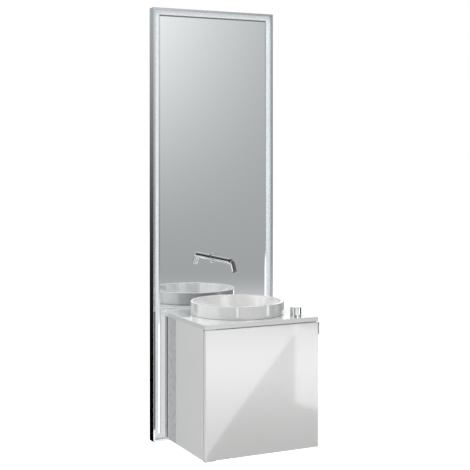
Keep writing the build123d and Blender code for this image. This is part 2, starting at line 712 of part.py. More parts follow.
def deck_seal():
    """The seal strip between the deck and the mirror."""
    half = CABINET_HALF
    front = GLASS_FRONT_DEPTH + DECK_SEAL_DEPTH
    strip = block(-half, half, GLASS_FRONT_DEPTH, front, DECK_TOP, DECK_TOP + DECK_SEAL_HEIGHT)
    front_edge = strip.edges().filter_by(Axis.X).group_by(Axis.Z)[-1].sort_by(Axis.Y)[0]
    return fillet(front_edge, DECK_SEAL_ROUNDING)


def shelf():
    """The glass shelf inside the cabinet."""
    half = INNER_HALF - SHELF_SIDE_GAP
    low = PANEL_BOTTOM + SHELF_HEIGHT
    front = CARCASS_FRONT_DEPTH - SHELF_FRONT_GAP
    return block(-half, half, SHELF_BACK_DEPTH, front, low, low + SHELF_THICKNESS)


def shelf_pins():
    """Four pins in the side boards, under the shelf."""
    depths, level = shelf_pin_places()
    pins = []
    for depth in depths:
        left = INNER_HALF - SHELF_PIN_LENGTH / 2
        pin = rod_across(SHELF_PIN_RADIUS, left, left + SHELF_PIN_LENGTH, depth, level)
        pins.append(pin.solid())
        pins.append(mirrored(pin).solid())
    return Compound(children=pins)


def door_panel():
    """The door board. Its left edge is rounded about the pivot, so it turns in place."""
    board = block(PIVOT_X, DOOR_HALF, DOOR_BACK_DEPTH, CABINET_FRONT_DEPTH, CABINET_BOTTOM, DOOR_TOP)
    front_edges = board.edges().filter_by(GeomType.LINE).group_by(Axis.Y)[0]
    outer_edges = front_edges.filter_by(lambda edge: edge.center().X > PIVOT_X + CUT)
    board = chamfer(outer_edges, DOOR_EDGE)
    board += rod_up(DOOR_THICKNESS / 2, PIVOT_X, PIVOT_DEPTH, CABINET_BOTTOM, DOOR_TOP)
    hole_length = BUSH_LENGTH + SEAT
    for low in (CABINET_BOTTOM, DOOR_TOP - hole_length):
        board -= rod_up(BUSH_RADIUS + RUNNING, PIVOT_X, PIVOT_DEPTH, low, low + hole_length)
    return board


def hinge_bushes():
    """Two bushes in the door, one in each end of the pivot edge."""
    bushes = []
    for low in (CABINET_BOTTOM, DOOR_TOP - BUSH_LENGTH):
        bush = rod_up(BUSH_RADIUS, PIVOT_X, PIVOT_DEPTH, low, low + BUSH_LENGTH)
        high = low + BUSH_LENGTH
        bush -= rod_up(PIVOT_PIN_RADIUS + RUNNING, PIVOT_X, PIVOT_DEPTH, low - CUT, high + CUT)
        bushes.append(bush.solid())
    return Compound(children=bushes)


def hinge_bracket(tongue_low, pin_low, leg_low):
    """An angle bracket on the carcass front, with a pivot pin on its tongue."""
    leg_left = HINGE_LEG_INSET - INNER_HALF
    leg_right = leg_left + HINGE_LEG_WIDTH
    leg_front = CARCASS_FRONT_DEPTH + HINGE_PLATE
    tongue_front = CABINET_FRONT_DEPTH - HINGE_PLATE_FRONT_INSET
    tongue_high = tongue_low + HINGE_PLATE
    tongue_back = CARCASS_FRONT_DEPTH + SEAT
    bracket = block(-DOOR_HALF, leg_right, tongue_back, tongue_front, tongue_low, tongue_high)
    leg_high = leg_low + HINGE_LEG_HEIGHT
    bracket += block(leg_left, leg_right, CARCASS_FRONT_DEPTH, leg_front, leg_low, leg_high)
    pin_length = PIVOT_PIN_LENGTH + HINGE_PLATE
    return bracket + rod_up(PIVOT_PIN_RADIUS, PIVOT_X, PIVOT_DEPTH, pin_low, pin_low + pin_length)


def hinge_brackets():
    """The lower and the upper pivot bracket."""
    low_tongue = CABINET_BOTTOM - SEAT - HINGE_PLATE
    high_tongue = DOOR_TOP + SEAT
    lower = hinge_bracket(low_tongue, low_tongue, low_tongue)
    upper_leg = high_tongue + HINGE_PLATE - HINGE_LEG_HEIGHT
    upper = hinge_bracket(high_tongue, high_tongue - PIVOT_PIN_LENGTH, upper_leg)
    return Compound(children=[lower.solid(), upper.solid()])


def edge_pull():
    """The finger pull on the door's right edge: a plate behind it and a grip beside it."""
    high = DOOR_TOP - PULL_TOP_INSET
    low = high - PULL_HEIGHT
    right = DOOR_HALF + PULL_REACH
    back = DOOR_BACK_DEPTH - PULL_PLATE
    plate = block(right - PULL_PLATE_WIDTH, right, back, DOOR_BACK_DEPTH, low, high)
    pull = plate + block(right - PULL_GRIP_WIDTH, right, back, CABINET_FRONT_DEPTH, low, high)
    front_edges = pull.edges().filter_by(Axis.Z).group_by(Axis.Y)[0]
    return fillet(front_edges, PULL_ROUNDING)


def magnet_catch():
    """The magnet under the front tube."""
    top = DECK_BOTTOM - RAIL_TUBE_HEIGHT
    front = DOOR_BACK_DEPTH - STRIKE_PLATE - SEAT
    return block(CATCH_X, CATCH_X + CATCH_WIDTH, front - CATCH_LENGTH, front, top - CATCH_HEIGHT, top)


def strike_plate():
    """The steel plate on the door that the magnet holds."""
    top = DECK_BOTTOM - RAIL_TUBE_HEIGHT
    back = DOOR_BACK_DEPTH - STRIKE_PLATE
    return block(CATCH_X, CATCH_X + CATCH_WIDTH, back, DOOR_BACK_DEPTH, top - CATCH_HEIGHT, top)


def bowl_curve(start, wall_angle, bend, inner_radius):
    """A bowl's wall line turning into its sloping floor: the arc and the floor line."""
    angle = radians(wall_angle)
    tangent = (-sin(angle), -cos(angle))
    turn = wall_angle + BASIN_FLOOR_SLOPE - 90
    arc = JernArc(start=start, tangent=tangent, radius=bend, arc_size=turn)
    slope = arc % 1
    end = arc @ 1
    run = (inner_radius - end.X) / slope.X
    floor = Line(end, (inner_radius, end.Y + run * slope.Y))
    return arc, floor


def basin_outline():
    """Half of the basin's section, as radius against level."""
    rim = BASIN_RADIUS - BASIN_RIM_WIDTH
    wall = radians(BASIN_WALL_DRAFT)
    inner_start = (rim - BASIN_INNER_DROP * tan(wall), BASIN_TOP - BASIN_INNER_DROP)
    inner = bowl_curve(inner_start, BASIN_WALL_DRAFT, BASIN_INNER_BEND, DRAIN_FLANGE_SEAT)
    inner_arc, inner_floor = inner
    outer_start = (BOWL_RADIUS, BASIN_BOTTOM - BASIN_OUTER_DROP)
    outer_arc, outer_floor = bowl_curve(outer_start, 0, BASIN_OUTER_BEND, DRAIN_COLLAR_RADIUS)
    seat_high = inner_floor @ 1
    seat_low = (DRAIN_FLANGE_SEAT, seat_high.Y - DRAIN_SEAT_DEPTH)
    drain_low = seat_low[1] - DRAIN_COLLAR_THICKNESS
    lines = [
        Line((rim, BASIN_TOP), inner_start),
        inner_arc,
        inner_floor,
        Polyline(seat_high, seat_low, (DRAIN_RADIUS, seat_low[1]), (DRAIN_RADIUS, drain_low)),
        Polyline((DRAIN_RADIUS, drain_low), (DRAIN_COLLAR_RADIUS, drain_low), outer_floor @ 1),
        outer_floor,
        outer_arc,
        Polyline(outer_start, (BOWL_RADIUS, BASIN_BOTTOM), (BASIN_RADIUS, BASIN_BOTTOM)),
        Polyline((BASIN_RADIUS, BASIN_BOTTOM), (BASIN_RADIUS, BASIN_TOP), (rim, BASIN_TOP)),
    ]
    return lines, seat_low[1]


def drain_seat_level():
    """The level of the face that the waste flange sits on."""
    return basin_outline()[1]


def basin():
    """The round basin: a straight drum on the deck and a bowl that hangs through it."""
    lines, _ = basin_outline()
    section = Plane.XZ * make_face(lines)
    body = turned_about(section, 0, BASIN_CENTRE_DEPTH)
    rims = body.edges().filter_by(GeomType.CIRCLE).group_by(Axis.Z)[-1]
    return fillet(rims, BASIN_RIM_ROUNDING)


def basin_seal():
    """The seal ring between the basin and the deck."""
    ring_radius = BASIN_RADIUS - BASIN_SEAL_INSET
    ring = rod_up(ring_radius, 0, BASIN_CENTRE_DEPTH, DECK_TOP, BASIN_BOTTOM)
    return ring - rod_up(BOWL_HOLE_RADIUS, 0, BASIN_CENTRE_DEPTH, DECK_TOP - CUT, BASIN_BOTTOM + CUT)


def pipe_up(radius, bore, low, high):
    """An upright pipe on the basin's axis."""
    pipe = rod_up(radius, 0, BASIN_CENTRE_DEPTH, low, high)
    return pipe - rod_up(bore, 0, BASIN_CENTRE_DEPTH, low - CUT, high + CUT)


def waste_levels():
    """The levels of the waste flange's two faces and of the tube's lower end."""
    low = drain_seat_level() + SEAT
    high = low + WASTE_FLANGE_THICKNESS
    return low, high, low - WASTE_LENGTH


def waste_body():
    """The waste: a flange in the basin, a tube through it and a guide for the plug's stem."""
    flange_low, flange_high, tube_low = waste_levels()
    body = pipe_up(WASTE_TUBE_RADIUS, WASTE_BORE, tube_low, flange_high)
    body += pipe_up(WASTE_FLANGE_RADIUS, WASTE_BORE, flange_low, flange_high)
    guide_high = flange_low - SPIDER_DROP
    guide_low = guide_high - SPIDER_HEIGHT
    body += rod_up(SPIDER_HUB_RADIUS, 0, BASIN_CENTRE_DEPTH, guide_low, guide_high)
    reach = WASTE_BORE + SPIDER_ARM_ROOT
    for turn in (0, 120, 240):
        arm = Pos(reach / 2, 0, 0) * Box(reach, SPIDER_ARM, SPIDER_HEIGHT)
        body += Pos(0, -BASIN_CENTRE_DEPTH, (guide_low + guide_high) / 2) * Rot(0, 0, turn) * arm
    hole_radius = PLUG_STEM_RADIUS + RUNNING
    return body - rod_up(hole_radius, 0, BASIN_CENTRE_DEPTH, guide_low - CUT, guide_high + CUT)


def waste_plug():
    """The push plug: a low dome on a stem. At rest it is down, just off the flange."""
    _, flange_high, _ = waste_levels()
    low = flange_high + SEAT
    cap = rod_up(PLUG_RADIUS, 0, BASIN_CENTRE_DEPTH, low, low + PLUG_CAP_HEIGHT)
    cap = fillet(cap.edges().group_by(Axis.Z)[-1], PLUG_CAP_HEIGHT / 2)
    return cap + rod_up(PLUG_STEM_RADIUS, 0, BASIN_CENTRE_DEPTH, low - PLUG_STEM_LENGTH, low)


def waste_nut():
    """The six-sided nut that holds the waste under the basin."""
    high = drain_seat_level() - DRAIN_COLLAR_THICKNESS - SEAT
    low = high - WASTE_NUT_HEIGHT
    nut = hexagon_up(WASTE_NUT_RADIUS, 0, BASIN_CENTRE_DEPTH, low, high)
    return nut - rod_up(WASTE_TUBE_RADIUS + LOOSE, 0, BASIN_CENTRE_DEPTH, low - CUT, high + CUT)


def trap_levels():
    """The levels of the trap body's top and bottom and of its outlet's axis."""
    _, _, tube_low = waste_levels()
    top = tube_low - TRAP_PIPE_DROP
    bottom = top - TRAP_BODY_HEIGHT
    return top, bottom, (top + bottom) / 2


def trap_body():
    """The trap's head: a nut round the waste, a dip pipe, a shell and an outlet socket."""
    _, _, tube_low = waste_levels()
    top, bottom, outlet = trap_levels()
    nut_floor = tube_low - LOOSE
    body = pipe_up(TRAP_NUT_RADIUS, WASTE_TUBE_RADIUS + LOOSE, nut_floor, tube_low + TRAP_NUT_GRIP)
    body += pipe_up(TRAP_NUT_RADIUS, TRAP_PIPE_BORE, nut_floor - TRAP_WALL, nut_floor)
    body += pipe_up(TRAP_BODY_RADIUS, TRAP_BODY_RADIUS - TRAP_WALL, bottom, top)
    body += pipe_up(TRAP_BODY_RADIUS, TRAP_PIPE_BORE, top - TRAP_WALL, top)
    socket_front = BASIN_CENTRE_DEPTH - TRAP_BODY_RADIUS + TRAP_WALL / 2
    socket_back = socket_front - OUTLET_SOCKET_LENGTH - TRAP_WALL / 2
    body += rod_out(OUTLET_SOCKET_RADIUS, 0, outlet, socket_back, socket_front)
    bore_end = BASIN_CENTRE_DEPTH - TRAP_PIPE_RADIUS - OUTLET_BORE_END_GAP
    body -= rod_out(TRAP_PIPE_BORE, 0, outlet, socket_back, bore_end)
    pipe_end = socket_back + OUTLET_OVERLAP
    body -= rod_out(TRAP_PIPE_RADIUS + LOOSE, 0, outlet, socket_back - CUT, pipe_end)
    return body + pipe_up(TRAP_PIPE_RADIUS, TRAP_PIPE_BORE, bottom - TRAP_DIP, nut_floor)


def trap_cup():
    """The trap's cup, whose collar grips the lower end of the body."""
    _, bottom, _ = trap_levels()
    high = bottom - SEAT
    low = high - TRAP_CUP_HEIGHT
    cup = rod_up(TRAP_BODY_RADIUS, 0, BASIN_CENTRE_DEPTH, low, high)
    cup = fillet(cup.edges().group_by(Axis.Z)[0], TRAP_WALL)
    bore = TRAP_BODY_RADIUS - TRAP_WALL
    cup -= rod_up(bore, 0, BASIN_CENTRE_DEPTH, low + TRAP_WALL, high + CUT)
    collar_low = high - TRAP_COLLAR_HEIGHT / 2
    collar_high = collar_low + TRAP_COLLAR_HEIGHT
    cup += pipe_up(TRAP_COLLAR_RADIUS, TRAP_BODY_RADIUS - TRAP_WALL / 2, collar_low, high)
    return cup + pipe_up(TRAP_COLLAR_RADIUS, TRAP_BODY_RADIUS + LOOSE, high, collar_high)


def outlet_pipe():
    """The waste pipe from the trap into the wall, with a bead that stops it at the wall."""
    _, _, outlet = trap_levels()
    socket_back = BASIN_CENTRE_DEPTH - TRAP_BODY_RADIUS - OUTLET_SOCKET_LENGTH
    end = socket_back + OUTLET_OVERLAP - SEAT
    pipe = rod_out(TRAP_PIPE_RADIUS, 0, outlet, -OUTLET_INTO_WALL, end)
    pipe += rod_out(OUTLET_BEAD_RADIUS, 0, outlet, 0, OUTLET_BEAD_LENGTH)
    bore = TRAP_PIPE_RADIUS - OUTLET_PIPE_WALL
    return pipe - rod_out(bore, 0, outlet, -OUTLET_INTO_WALL - CUT, end + CUT)


def spout_path():
    """The centre line of the spout, from the rosette to the tilted outlet."""
    tilt = radians(SPOUT_TILT)
    back = GLASS_FRONT_DEPTH + ROSETTE_THICKNESS / 2
    corner = (0, -SPOUT_CORNER_DEPTH, SPOUT_Z)
    drop = SPOUT_OUTLET_LEG * cos(tilt)
    outlet = (0, -SPOUT_CORNER_DEPTH - SPOUT_OUTLET_LEG * sin(tilt), SPOUT_Z - drop)
    return FilletPolyline((0, -back, SPOUT_Z), corner, outlet, radius=SPOUT_BEND)


def tube_along(path, radius):
    """A round bar that follows a path."""
    start = Plane(origin=path @ 0, z_dir=path % 0)
    return sweep(start * Circle(radius), path=path)


def spout():
    """The bent spout tube."""
    path = spout_path()
    return tube_along(path, SPOUT_RADIUS) - tube_along(path, SPOUT_BORE)


def aerator():
    """The insert in the spout's outlet: a short ring and a plate with round holes."""
    path = spout_path()
    face = Plane(origin=path @ 1, z_dir=(path % 1) * -1).offset(AERATOR_RECESS)
    radius = SPOUT_BORE - LOOSE
    insert = extrude(face * Circle(radius), AERATOR_LENGTH)
    ring_bore = Circle(radius - AERATOR_WALL)
    insert -= extrude(face.offset(AERATOR_PLATE) * ring_bore, AERATOR_LENGTH)
    centres = [Pos(0, 0, 0)] + list(PolarLocations(AERATOR_RING, AERATOR_RING_HOLES))
    for centre in centres:
        insert -= extrude(face * centre * Circle(AERATOR_HOLE), AERATOR_PLATE)
    return insert


def spout_rosette():
    """The round cover plate on the mirror, round the spout's root."""
    front = GLASS_FRONT_DEPTH + ROSETTE_THICKNESS
    plate = rod_out(ROSETTE_RADIUS, 0, SPOUT_Z, GLASS_FRONT_DEPTH, front)
    plate = fillet(plate.edges().group_by(Axis.Y)[0], ROSETTE_ROUNDING)
    return plate - rod_out(SPOUT_RADIUS + LOOSE, 0, SPOUT_Z, GLASS_FRONT_DEPTH - CUT, front + CUT)


def spout_connector():
    """The brass block behind the mirror that carries the spout."""
    block_back = WEB_BACK_DEPTH
    shank_front = GLASS_FRONT_DEPTH + ROSETTE_THICKNESS / 2
    body = rod_out(SPOUT_CONNECTOR_RADIUS, 0, SPOUT_Z, block_back, GLASS_BACK_DEPTH)
    body += rod_out(SHANK_RADIUS, 0, SPOUT_Z, GLASS_BACK_DEPTH, shank_front)
    body += rod_up(SPOUT_PORT_RADIUS, 0, CAVITY_DEPTH, SPOUT_Z - SPOUT_PORT_DROP, SPOUT_Z)
    return body - rod_out(SHANK_BORE, 0, SPOUT_Z, block_back + PROFILE_WALL, shank_front + CUT)


def control_ports():
    """Where the hoses leave the control: (x, depth) of cold, hot and mixed water."""
    return {
        "cold": (CONTROL_X + SUPPLY_PORT_SPREAD, CONTROL_DEPTH + SUPPLY_PORT_FORWARD),
        "hot": (CONTROL_X - SUPPLY_PORT_SPREAD, CONTROL_DEPTH + SUPPLY_PORT_FORWARD),
        "mixed": (CONTROL_X, CONTROL_DEPTH - MIXED_PORT_BACK),
    }


def control_body():
    """The control's body: a flange on the deck and a shank through it, with three ports."""
    flange_top = DECK_TOP + CONTROL_FLANGE
    body = rod_up(CONTROL_RADIUS, CONTROL_X, CONTROL_DEPTH, CONTROL_LOW, flange_top)
    body += rod_up(CONTROL_FLANGE_RADIUS, CONTROL_X, CONTROL_DEPTH, DECK_TOP, flange_top)
    hole_low = flange_top - SPINDLE_IN_BODY - SEAT
    hole_radius = SPINDLE_RADIUS + RUNNING
    body -= rod_up(hole_radius, CONTROL_X, CONTROL_DEPTH, hole_low, flange_top + CUT)
    for x, depth in control_ports().values():
        body -= rod_up(PORT_RADIUS, x, depth, CONTROL_LOW - CUT, CONTROL_LOW + PORT_DEPTH)
    return body


def control_nut():
    """The six-sided nut under the deck that holds the control."""
    low = DECK_BOTTOM - CONTROL_NUT_HEIGHT
    nut = hexagon_up(CONTROL_NUT_RADIUS, CONTROL_X, CONTROL_DEPTH, low, DECK_BOTTOM)
    hole_radius = CONTROL_RADIUS + LOOSE
    return nut - rod_up(hole_radius, CONTROL_X, CONTROL_DEPTH, low - CUT, DECK_BOTTOM + CUT)


def control_spindle():
    """The spindle that the knob turns."""
    low = DECK_TOP + CONTROL_FLANGE - SPINDLE_IN_BODY
    return rod_up(SPINDLE_RADIUS, CONTROL_X, CONTROL_DEPTH, low, low + SPINDLE_LENGTH)


def control_knob():
    """The round knob, hollow below round a hub that takes the spindle."""
    low = DECK_TOP + CONTROL_FLANGE + SEAT
    high = low + KNOB_HEIGHT
    knob = rod_up(KNOB_RADIUS, CONTROL_X, CONTROL_DEPTH, low, high)
    knob = chamfer(knob.edges().group_by(Axis.Z)[-1], KNOB_EDGE)
    skirt_radius = KNOB_RADIUS - KNOB_WALL
    skirt_high = low + KNOB_SKIRT
    hollow = rod_up(skirt_radius, CONTROL_X, CONTROL_DEPTH, low - CUT, skirt_high)
    hollow -= rod_up(KNOB_HUB_RADIUS, CONTROL_X, CONTROL_DEPTH, low - CUT, skirt_high)
    spindle_top = DECK_TOP + CONTROL_FLANGE - SPINDLE_IN_BODY + SPINDLE_LENGTH
    bore_radius = SPINDLE_RADIUS + RUNNING
    bore = rod_up(bore_radius, CONTROL_X, CONTROL_DEPTH, low - CUT, spindle_top + SEAT)
    return knob - hollow - bore


def supply_place(side):
    """The middle of one water connection: -1 is the hot side and 1 the cold side."""
    return side * SUPPLY_X, PANEL_BOTTOM + SUPPLY_HEIGHT


def hose_nuts():
    """The union nuts that the hoses end in, open towards the wall."""
    nuts = []
    for side in (-1, 1):
        x, z = supply_place(side)
        place = Plane(origin=(x, -HOSE_NUT_FACE_DEPTH, z), x_dir=(1, 0, 0), z_dir=(0, -1, 0))
        nut = extrude(place * RegularPolygon(HOSE_NUT_RADIUS, 6), HOSE_NUT_LENGTH)
        thread_end = HOSE_NUT_FACE_DEPTH + HOSE_THREAD_DEPTH
        nut -= rod_out(HOSE_THREAD_RADIUS, x, z, HOSE_NUT_FACE_DEPTH - CUT, thread_end)
        nuts.append(nut.solid())
    return Compound(children=nuts)


def corner_radii(points):
    """The largest arc at each corner of a route that its two runs leave room for."""
    radii = []
    for before, corner, after in zip(points, points[1:], points[2:]):
        first = Vector(*corner) - Vector(*before)
        second = Vector(*after) - Vector(*corner)
        half_turn = radians(first.get_angle(second) / 2)
        radii.append(ARC_SHARE * min(first.length, second.length) / tan(half_turn))
    return radii


def route(name, points, radius):
    """A hose or lead along a route of runs joined by large arcs."""
    radii = corner_radii(points)
    path = FilletPolyline(*points, radius=radii)
    tube = tube_along(path, radius)
    filled = tube.volume / (path.length * pi * radius**2)
    length = round(path.length)
    print(name, "length", length, "smallest arc", round(min(radii)), "filled", round(filled, 4))
    return tube


def port_run(port, offsets):
    """Points below a port of the control, as (x, depth, drop) offsets from its mouth."""
    x, depth = control_ports()[port]
    return [(x + dx, -(depth + dd), CONTROL_LOW - drop) for dx, dd, drop in offsets]


def supply_run(side, offsets):
    """Points in front of a union nut, as (x, depth, rise) offsets from its inner end."""
    x, z = supply_place(side)
    depth = HOSE_NUT_FACE_DEPTH + HOSE_NUT_LENGTH
    return [(x + dx, -(depth + dd), z + rise) for dx, dd, rise in offsets]


def cold_hose():
    """The cold hose, from the control round to the right-hand union nut."""
    upper = port_run("cold", [(0, 0, 0), (0, 0, 62), (-8, -38, 150), (-36, -126, 208)])
    lower = supply_run(1, [(18, 134, -22), (0, 58, 0), (0, 0, 0)])
    return route("cold_hose", upper + lower, HOSE_RADIUS)


def hot_hose():
    """The hot hose, from the control behind the trap to the left-hand union nut."""
    upper = port_run("hot", [(0, 0, 0), (0, 0, 72), (-12, -36, 160), (-42, -112, 215)])
    lower = supply_run(-1, [(138, 136, -47), (45, 108, -42), (0, 58, 0), (0, 0, 0)])
    return route("hot_hose", upper + lower, HOSE_RADIUS)


def spout_hose():
    """The mixed-water hose, from the control up behind the mirror to the spout."""
    below_port = [(0, 0, 0), (0, 0, 56), (-10, -52, 112), (-34, -150, 124), (-68, -236, 96)]
    lower = port_run("mixed", below_port)
    mouth = SPOUT_Z - SPOUT_PORT_DROP
    upper = [
        (62, -72, mouth - 310),
        (30, -CAVITY_DEPTH, mouth - 225),
        (0, -CAVITY_DEPTH, mouth - 92),
        (0, -CAVITY_DEPTH, mouth),
    ]
    return route("spout_hose", lower + upper, HOSE_RADIUS)


def driver_lead():
    """The lead from the driver to the left lamp strip."""
    end = -PANEL_HALF + LED_STRIP_INSET + CONNECTOR_INSET + CONNECTOR_WIDTH
    points = [
        (DRIVER_LEFT, -CAVITY_DEPTH, LEAD_Z - 5),
        (DRIVER_LEFT - 35, -CAVITY_DEPTH, LEAD_Z - 5),
        (DRIVER_LEFT - 82, -CAVITY_DEPTH, LEAD_Z + 7),
        (end + 41, -CAVITY_DEPTH, LEAD_Z),
        (end, -CAVITY_DEPTH, LEAD_Z),
    ]
    return route("driver_lead", points, LEAD_RADIUS)


def pair(name, make):
    """A piece on the right and its mirror image on the left."""
    piece = make()
    return {name + "_right": piece, name + "_left": mirrored(piece)}


def all_nodes():
    """Every sub-part of the washplace, by name."""
    nodes = {}
    for side, rail in frame_sides().items():
        nodes["frame_" + side] = rail
    for side, strip in set_round_panel(diffuser_rail).items():
        nodes["light_diffuser_" + side] = strip
    pieces = (
        corner_keys,
        led_strips,
        mirror_glass,
        back_sheet,
        led_driver,
        driver_lead,
        cable_grommet,
        wall_rail,
        hook_rail,
        carrier_frame,
        hanger_bolts,
        bottom_panel,
        cabinet_dowels,
        deck_rails,
        deck,
        deck_seal,
        shelf,
        shelf_pins,
        door_panel,
        hinge_brackets,
        hinge_bushes,
        edge_pull,
        magnet_catch,
        strike_plate,
        basin,
        basin_seal,
        waste_body,
        waste_plug,
        waste_nut,
        trap_body,
        trap_cup,
        outlet_pipe,
        spout,
        spout_rosette,
        aerator,
        spout_connector,
        control_body,
        control_nut,
        control_spindle,
        control_knob,
        hose_nuts,
        cold_hose,
        hot_hose,
        spout_hose,
    )
    for make in pieces:
        nodes[make.__name__] = make()
    for make in (rear_post, shadow_profile, ribbed_profile, side_panel):
        nodes.update(pair(make.__name__, make))
    return nodes


os.makedirs("parts", exist_ok=True)
for node, shape in all_nodes().items():
    export_step(shape, "parts/" + node + ".step")
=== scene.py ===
"""Looks of a wall-hung washplace: a lit mirror panel, a white cabinet, a round basin and chrome fittings.

Everything is in metres in the part's own frame: X to the right, Y into the wall, Z up.
"""
import json
import math

import bmesh
import bpy
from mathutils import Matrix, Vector

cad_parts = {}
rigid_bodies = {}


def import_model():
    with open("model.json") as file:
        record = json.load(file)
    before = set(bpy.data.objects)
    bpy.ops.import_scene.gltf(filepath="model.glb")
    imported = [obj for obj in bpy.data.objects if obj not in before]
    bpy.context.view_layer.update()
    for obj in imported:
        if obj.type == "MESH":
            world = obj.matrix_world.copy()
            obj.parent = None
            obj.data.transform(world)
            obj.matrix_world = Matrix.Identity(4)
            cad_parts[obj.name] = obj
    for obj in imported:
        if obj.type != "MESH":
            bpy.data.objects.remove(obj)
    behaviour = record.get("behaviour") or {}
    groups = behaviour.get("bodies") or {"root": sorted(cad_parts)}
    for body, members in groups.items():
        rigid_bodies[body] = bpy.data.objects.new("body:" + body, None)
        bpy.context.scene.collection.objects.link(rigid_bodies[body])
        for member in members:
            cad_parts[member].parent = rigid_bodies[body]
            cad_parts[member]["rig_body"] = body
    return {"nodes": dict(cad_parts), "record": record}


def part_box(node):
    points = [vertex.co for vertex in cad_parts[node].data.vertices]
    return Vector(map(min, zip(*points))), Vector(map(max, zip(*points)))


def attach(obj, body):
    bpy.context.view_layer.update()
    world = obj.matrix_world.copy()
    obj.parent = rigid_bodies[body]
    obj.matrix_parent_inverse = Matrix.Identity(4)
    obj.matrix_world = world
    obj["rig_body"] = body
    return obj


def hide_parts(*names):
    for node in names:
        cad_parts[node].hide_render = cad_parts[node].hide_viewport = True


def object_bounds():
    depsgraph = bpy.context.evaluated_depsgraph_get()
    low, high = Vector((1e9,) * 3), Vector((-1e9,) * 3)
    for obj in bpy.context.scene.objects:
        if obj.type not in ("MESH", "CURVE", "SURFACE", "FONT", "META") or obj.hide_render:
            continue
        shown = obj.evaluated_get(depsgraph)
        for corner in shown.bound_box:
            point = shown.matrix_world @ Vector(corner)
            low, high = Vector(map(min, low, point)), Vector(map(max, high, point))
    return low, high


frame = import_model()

CAD_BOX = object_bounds()
MM = 0.001

# Camera, solved from the straight edges in the photograph
CAMERA_PLACE = Vector((-1.7163, -3.7478, 0.8253))
CAMERA_TURN = math.radians(25.91)
CAMERA_FOCAL_PIXELS = 1075.05
PICTURE_PIXELS = 470.0
HORIZON_PIXEL = 151.6
SENSOR = 36.0

# Room
FLOOR_BELOW_PANEL = 0.33
FLOOR_HALF = 14.0
FLOOR_WHITE = 0.7


def place(piece, body, slot, *replaced):
    """Puts a finished piece in the model: what it moves with and what it stands for. The slot is not used.
    """
    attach(piece, body)
    if replaced:
        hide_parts(*replaced)
    return piece


def finish_mesh(bm, name, material, smooth_angle=40.0):
    """Turns a bmesh into an object at the origin, smooth except at edges over the angle."""
    mesh = bpy.data.meshes.new(name)
    bm.to_mesh(mesh)
    bm.free()
    mesh.shade_smooth()
    mesh.set_sharp_from_angle(angle=math.radians(smooth_angle))
    mesh.materials.append(material)
    piece = bpy.data.objects.new(name, mesh)
    bpy.context.scene.collection.objects.link(piece)
    return piece


def soften(piece, width, segments=3, angle=30.0):
    """Rounds a piece's sharp edges, and keeps its flat faces flat in the light."""
    bevel = piece.modifiers.new("edge_rounding", "BEVEL")
    bevel.width = width
    bevel.segments = segments
    bevel.limit_method = "ANGLE"
    bevel.angle_limit = math.radians(angle)
    weighted = piece.modifiers.new("flat_faces", "WEIGHTED_NORMAL")
    weighted.keep_sharp = True
    return piece


def copy_of(node, name, material):
    """A merged copy of a CAD node, ready for its edges to be rounded."""
    bm = bmesh.new()
    bm.from_mesh(frame["nodes"][node].data)
    bmesh.ops.remove_doubles(bm, verts=bm.verts, dist=1e-6)
    bmesh.ops.dissolve_limit(bm, angle_limit=math.radians(1.0), verts=bm.verts, edges=bm.edges)
    piece = finish_mesh(bm, name, material)
    mesh = piece.data
    for layer in [attribute for attribute in mesh.attributes if attribute.name == "custom_normal"]:
        mesh.attributes.remove(layer)
    return piece


# Materials


class Nodes:
    """Short ways to add and join nodes in one tree."""

    def __init__(self, tree):
        self.tree = tree

    def node(self, kind, **inputs):
        made = self.tree.nodes.new("ShaderNode" + kind)
        for socket, value in inputs.items():
            self.put(made, socket.replace("_", " "), value)
        return made

    def put(self, node, socket, value):
        if isinstance(value, bpy.types.NodeSocket):
            self.tree.links.new(value, node.inputs[socket])
        else:
            node.inputs[socket].default_value = value

    def math(self, operation, first, second=None, clamp=False):
        made = self.tree.nodes.new("ShaderNodeMath")
        made.operation = operation
        made.use_clamp = clamp
        self.put(made, 0, first)
        if second is not None:
            self.put(made, 1, second)
        return made.outputs["Value"]


